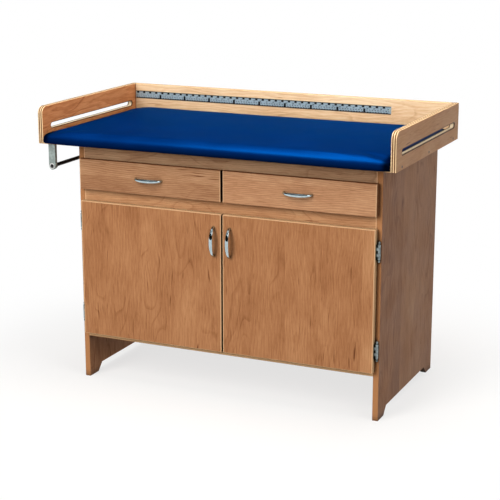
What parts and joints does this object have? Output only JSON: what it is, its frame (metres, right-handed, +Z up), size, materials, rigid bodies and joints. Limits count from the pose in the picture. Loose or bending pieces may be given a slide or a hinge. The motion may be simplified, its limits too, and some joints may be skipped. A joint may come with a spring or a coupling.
{
  "type": "pediatric examination table",
  "caption": "Wooden cabinet table with a padded tray, slotted side guards, a measuring rule, drawers, doors and a paper-roll rod.",
  "frame": {"origin": "on the floor under the middle of the tray", "axes": "+X to the right along the length, +Y to the rear, +Z up"},
  "size_m": [1.257, 0.679, 0.958],
  "materials": {
    "cabinet_veneer": "satin lacquer",
    "guard_plywood": "satin lacquer",
    "back_guard_maple": "satin lacquer",
    "panel_board": "matt",
    "drawer_box_wood": "satin",
    "pad_vinyl": "satin vinyl",
    "pull_chrome": "polished",
    "hinge_nickel": "bright",
    "slide_zinc": "zinc plated",
    "bracket_galvanised": "galvanised",
    "rod_black": "satin",
    "collar_rubber": "matt",
    "rule_metal": "satin anodised",
    "screw_steel": "plated",
    "catch_plastic": "matt"
  },
  "bodies": {
    "cabinet_body": {"left_end_panel": "cabinet_veneer", "right_end_panel": "cabinet_veneer", "cabinet_floor": "cabinet_veneer", "cabinet_back": "panel_board", "top_rail": "cabinet_veneer", "mid_rail": "cabinet_veneer", "drawer_bay_floor": "cabinet_veneer", "drawer_divider": "cabinet_veneer", "deck_cleats": "cabinet_veneer", "storage_shelf": "cabinet_veneer", "shelf_pins": "screw_steel", "deck_board": "panel_board", "left_guard": "guard_plywood", "right_guard": "guard_plywood", "back_guard": "back_guard_maple", "measuring_rule": "rule_metal", "guard_screws": "screw_steel", "pad": "pad_vinyl", "left_slide_cabinet_members": "slide_zinc", "right_slide_cabinet_members": "slide_zinc", "magnetic_catch": "catch_plastic", "left_hinge_frame_leaves": "hinge_nickel", "right_hinge_frame_leaves": "hinge_nickel", "left_hinge_pins": "hinge_nickel", "right_hinge_pins": "hinge_nickel", "front_paper_bracket": "bracket_galvanised", "rear_paper_bracket": "bracket_galvanised", "bracket_screws": "screw_steel"},
    "left_drawer_box": {"left_drawer_front": "cabinet_veneer", "left_drawer_sides": "drawer_box_wood", "left_drawer_ends": "drawer_box_wood", "left_drawer_bottom": "panel_board", "left_drawer_pull": "pull_chrome", "left_drawer_pull_screws": "screw_steel", "left_slide_drawer_members": "slide_zinc"},
    "left_slide_runner": {"left_slide_middle_members": "slide_zinc"},
    "left_door_leaf": {"left_door": "cabinet_veneer", "left_door_pull": "pull_chrome", "left_door_pull_screws": "screw_steel", "left_strike_plate": "screw_steel", "left_hinge_door_leaves": "hinge_nickel"},
    "right_drawer_box": {"right_drawer_front": "cabinet_veneer", "right_drawer_sides": "drawer_box_wood", "right_drawer_ends": "drawer_box_wood", "right_drawer_bottom": "panel_board", "right_drawer_pull": "pull_chrome", "right_drawer_pull_screws": "screw_steel", "right_slide_drawer_members": "slide_zinc"},
    "right_slide_runner": {"right_slide_middle_members": "slide_zinc"},
    "right_door_leaf": {"right_door": "cabinet_veneer", "right_door_pull": "pull_chrome", "right_door_pull_screws": "screw_steel", "right_strike_plate": "screw_steel", "right_hinge_door_leaves": "hinge_nickel"},
    "paper_roll_rod": {"paper_rod": "rod_black", "rod_collars": "collar_rubber"}
  },
  "joints": [
    {"name": "left_drawer_slide", "type": "slide", "parent": "cabinet_body", "child": "left_drawer_box", "axis": [0, -1, 0], "range_m": [0, 0.4]},
    {"name": "left_runner_slide", "type": "slide", "parent": "cabinet_body", "child": "left_slide_runner", "axis": [0, -1, 0], "range_m": [0, 0.2]},
    {"name": "right_drawer_slide", "type": "slide", "parent": "cabinet_body", "child": "right_drawer_box", "axis": [0, -1, 0], "range_m": [0, 0.4]},
    {"name": "right_runner_slide", "type": "slide", "parent": "cabinet_body", "child": "right_slide_runner", "axis": [0, -1, 0], "range_m": [0, 0.2]},
    {"name": "left_door_swing", "type": "hinge", "parent": "cabinet_body", "child": "left_door_leaf", "pos_m": [-0.5175, -0.239, 0.4], "axis": [0, 0, -1], "range_deg": [0, 165]},
    {"name": "right_door_swing", "type": "hinge", "parent": "cabinet_body", "child": "right_door_leaf", "pos_m": [0.5525, -0.239, 0.4], "axis": [0, 0, 1], "range_deg": [0, 165]},
    {"name": "paper_rod_spin", "type": "hinge", "parent": "cabinet_body", "child": "paper_roll_rod", "pos_m": [-0.5875, -0.017, 0.757], "axis": [0, 1, 0], "continuous": true}
  ],
  "couplings": [
    {"joint": "left_runner_slide", "follows": "left_drawer_slide", "ratio": 0.5},
    {"joint": "right_runner_slide", "follows": "right_drawer_slide", "ratio": 0.5}
  ]
}
